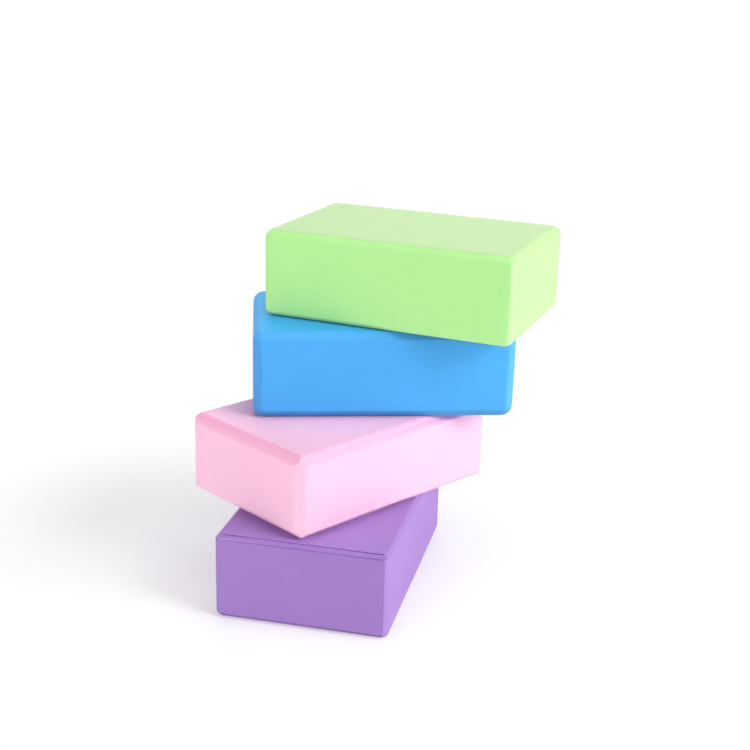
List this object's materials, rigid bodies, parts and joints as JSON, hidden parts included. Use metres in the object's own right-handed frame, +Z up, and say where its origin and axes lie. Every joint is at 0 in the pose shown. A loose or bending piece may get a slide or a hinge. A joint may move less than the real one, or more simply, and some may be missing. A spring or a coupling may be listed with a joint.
{
  "type": "yoga block stack",
  "caption": "Fanned stack of loose foam yoga blocks with bevelled edges, each lying flat across the one below; single blocks lift off to prop hands, hips or feet.",
  "frame": {"origin": "centre of the bottom block's lower face, on the floor", "axes": "+Z up through the stack, +X to the right and +Y away from a viewer who faces the fanned corner of the stack"},
  "size_m": [0.3218, 0.3054, 0.304],
  "materials": {
    "purple_foam": "matte closed-cell foam, purple",
    "pink_foam": "matte closed-cell foam, pale pink",
    "blue_foam": "matte closed-cell foam, sky blue",
    "green_foam": "matte closed-cell foam, pale green"
  },
  "bodies": {
    "purple_block": {"purple_block": "purple_foam"},
    "pink_block": {"pink_block": "pink_foam"},
    "blue_block": {"blue_block": "blue_foam"},
    "green_block": {"green_block": "green_foam"}
  },
  "joints": [
    {"name": "pink_lift", "type": "slide", "parent": "purple_block", "child": "pink_block", "axis": [0, 0, 1], "range_m": [0, 0.1]},
    {"name": "blue_lift", "type": "slide", "parent": "pink_block", "child": "blue_block", "axis": [0, 0, 1], "range_m": [0, 0.1]},
    {"name": "green_lift", "type": "slide", "parent": "blue_block", "child": "green_block", "axis": [0, 0, 1], "range_m": [0, 0.1]}
  ]
}
